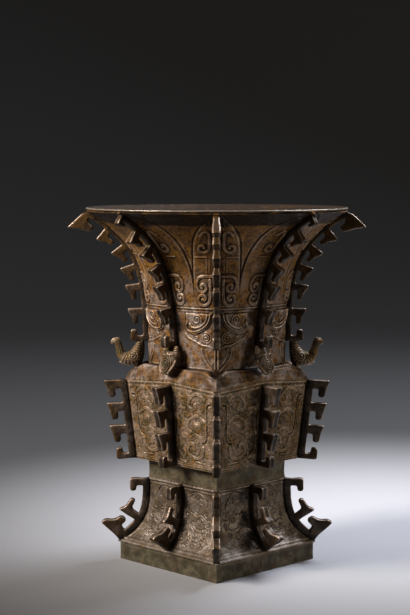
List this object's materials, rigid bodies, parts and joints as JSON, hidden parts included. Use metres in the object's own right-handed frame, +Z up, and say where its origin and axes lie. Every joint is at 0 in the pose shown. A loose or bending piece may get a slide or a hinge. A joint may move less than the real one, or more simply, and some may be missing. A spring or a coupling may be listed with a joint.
{
  "type": "bronze zun",
  "caption": "Bronze wine vessel of zun form: round trumpet mouth on a square body and flared square foot, with hooked flanges, beast masks and shoulder birds.",
  "frame": {"origin": "on the ground under the vessel's axis, at the centre of the plinth's underside", "axes": "+Z up the vessel's axis to the mouth, X and Y square to the sides of the body and foot, -Y the front side"},
  "size_m": [0.284, 0.284, 0.38],
  "materials": {
    "brown_bronze": "patinated cast bronze, warm brown",
    "olive_bronze": "patinated cast bronze, olive brown",
    "grey_bronze": "patinated cast bronze, grey brown, rubbed bright",
    "dark_bronze": "patinated cast bronze, dark brown with worn edges"
  },
  "bodies": {
    "root": {"plinth": "olive_bronze", "foot_skirt": "grey_bronze", "waist_collar": "olive_bronze", "body_shell": "olive_bronze", "floor_plate": "dark_bronze", "shoulder_plate": "brown_bronze", "neck_trumpet": "brown_bronze", "neck_flange_right": "dark_bronze", "neck_flange_back_right": "dark_bronze", "neck_flange_back": "dark_bronze", "neck_flange_back_left": "dark_bronze", "neck_flange_left": "dark_bronze", "neck_flange_front_left": "dark_bronze", "neck_flange_front": "dark_bronze", "neck_flange_front_right": "dark_bronze", "body_flange_right": "dark_bronze", "body_flange_back_right": "dark_bronze", "body_flange_back": "dark_bronze", "body_flange_back_left": "dark_bronze", "body_flange_left": "dark_bronze", "body_flange_front_left": "dark_bronze", "body_flange_front": "dark_bronze", "body_flange_front_right": "dark_bronze", "foot_flange_right": "dark_bronze", "foot_flange_back_right": "dark_bronze", "foot_flange_back": "dark_bronze", "foot_flange_back_left": "dark_bronze", "foot_flange_left": "dark_bronze", "foot_flange_front_left": "dark_bronze", "foot_flange_front": "dark_bronze", "foot_flange_front_right": "dark_bronze", "mask_right": "olive_bronze", "mask_back": "olive_bronze", "mask_left": "olive_bronze", "mask_front": "olive_bronze", "bird_back_right": "olive_bronze", "bird_front_left": "olive_bronze"}
  },
  "joints": []
}
